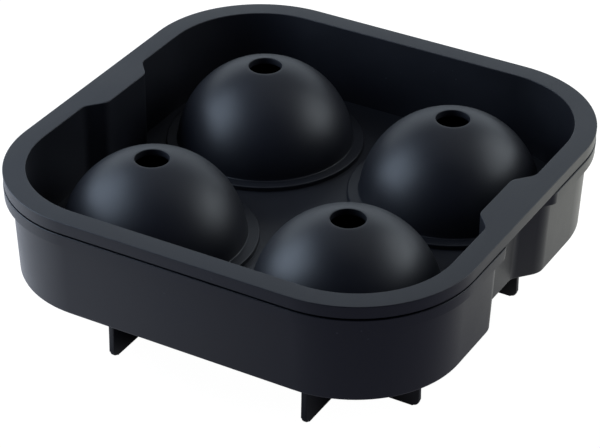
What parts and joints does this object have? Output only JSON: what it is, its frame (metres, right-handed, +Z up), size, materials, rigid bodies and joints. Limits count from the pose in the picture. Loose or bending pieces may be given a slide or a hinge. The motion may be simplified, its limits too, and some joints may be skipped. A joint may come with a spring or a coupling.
{
  "type": "ice ball mold",
  "caption": "Square black silicone ice ball mold: a recessed lid with filled-through domes and grip tabs lifts off a tray of round cups on crossed fins.",
  "frame": {"origin": "on the table under the middle of the tray", "axes": "+Z up, the lid's grip tabs on -X and +X, the picture's nearest long side facing -Y"},
  "size_m": [0.13, 0.13, 0.049],
  "materials": {
    "lid_silicone": "satin",
    "tray_silicone": "satin"
  },
  "bodies": {
    "tray": {"tray_wall": "tray_silicone", "tray_deck": "tray_silicone", "tray_cup_front_left": "tray_silicone", "tray_cup_front_right": "tray_silicone", "tray_cup_back_left": "tray_silicone", "tray_cup_back_right": "tray_silicone", "tray_foot_front_left": "tray_silicone", "tray_foot_front_right": "tray_silicone", "tray_foot_back_left": "tray_silicone", "tray_foot_back_right": "tray_silicone"},
    "lid": {"lid_rim": "lid_silicone", "lid_skirt": "lid_silicone", "lid_deck": "lid_silicone", "lid_dome_front_left": "lid_silicone", "lid_dome_front_right": "lid_silicone", "lid_dome_back_left": "lid_silicone", "lid_dome_back_right": "lid_silicone"}
  },
  "joints": [
    {"name": "lid_lift", "type": "slide", "parent": "tray", "child": "lid", "axis": [0, 0, 1], "range_m": [0, 0.06]}
  ]
}
